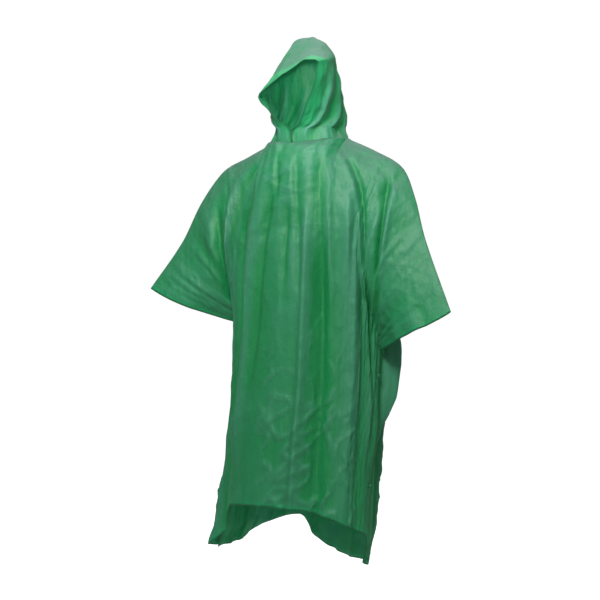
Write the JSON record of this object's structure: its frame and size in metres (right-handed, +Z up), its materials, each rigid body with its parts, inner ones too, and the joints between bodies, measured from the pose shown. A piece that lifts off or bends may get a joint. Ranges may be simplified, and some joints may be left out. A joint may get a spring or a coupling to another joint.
{
  "type": "rain poncho",
  "caption": "Hooded pull-over rain poncho in thin green film, open as if worn: wide sleeves, V-shaped face opening, long fold-broken panels and a back hem longer than the front.",
  "frame": {"origin": "centre of the neck at shoulder height, where the wearer's shoulders hold the garment up", "axes": "+Z up, the front faces -Y, the wearer's left is +X"},
  "size_m": [0.888, 0.3615, 1.3632],
  "materials": {
    "green_film": "thin, slightly milky translucent film with soft packing creases and a dull sheen",
    "stud_plastic": "moulded press studs in the film's green"
  },
  "bodies": {
    "root": {"front_panel": "green_film", "back_panel": "green_film", "hood_left": "green_film", "hood_right": "green_film", "stud_left_upper": "stud_plastic", "stud_left_lower": "stud_plastic", "stud_right_upper": "stud_plastic", "stud_right_lower": "stud_plastic"}
  },
  "joints": []
}
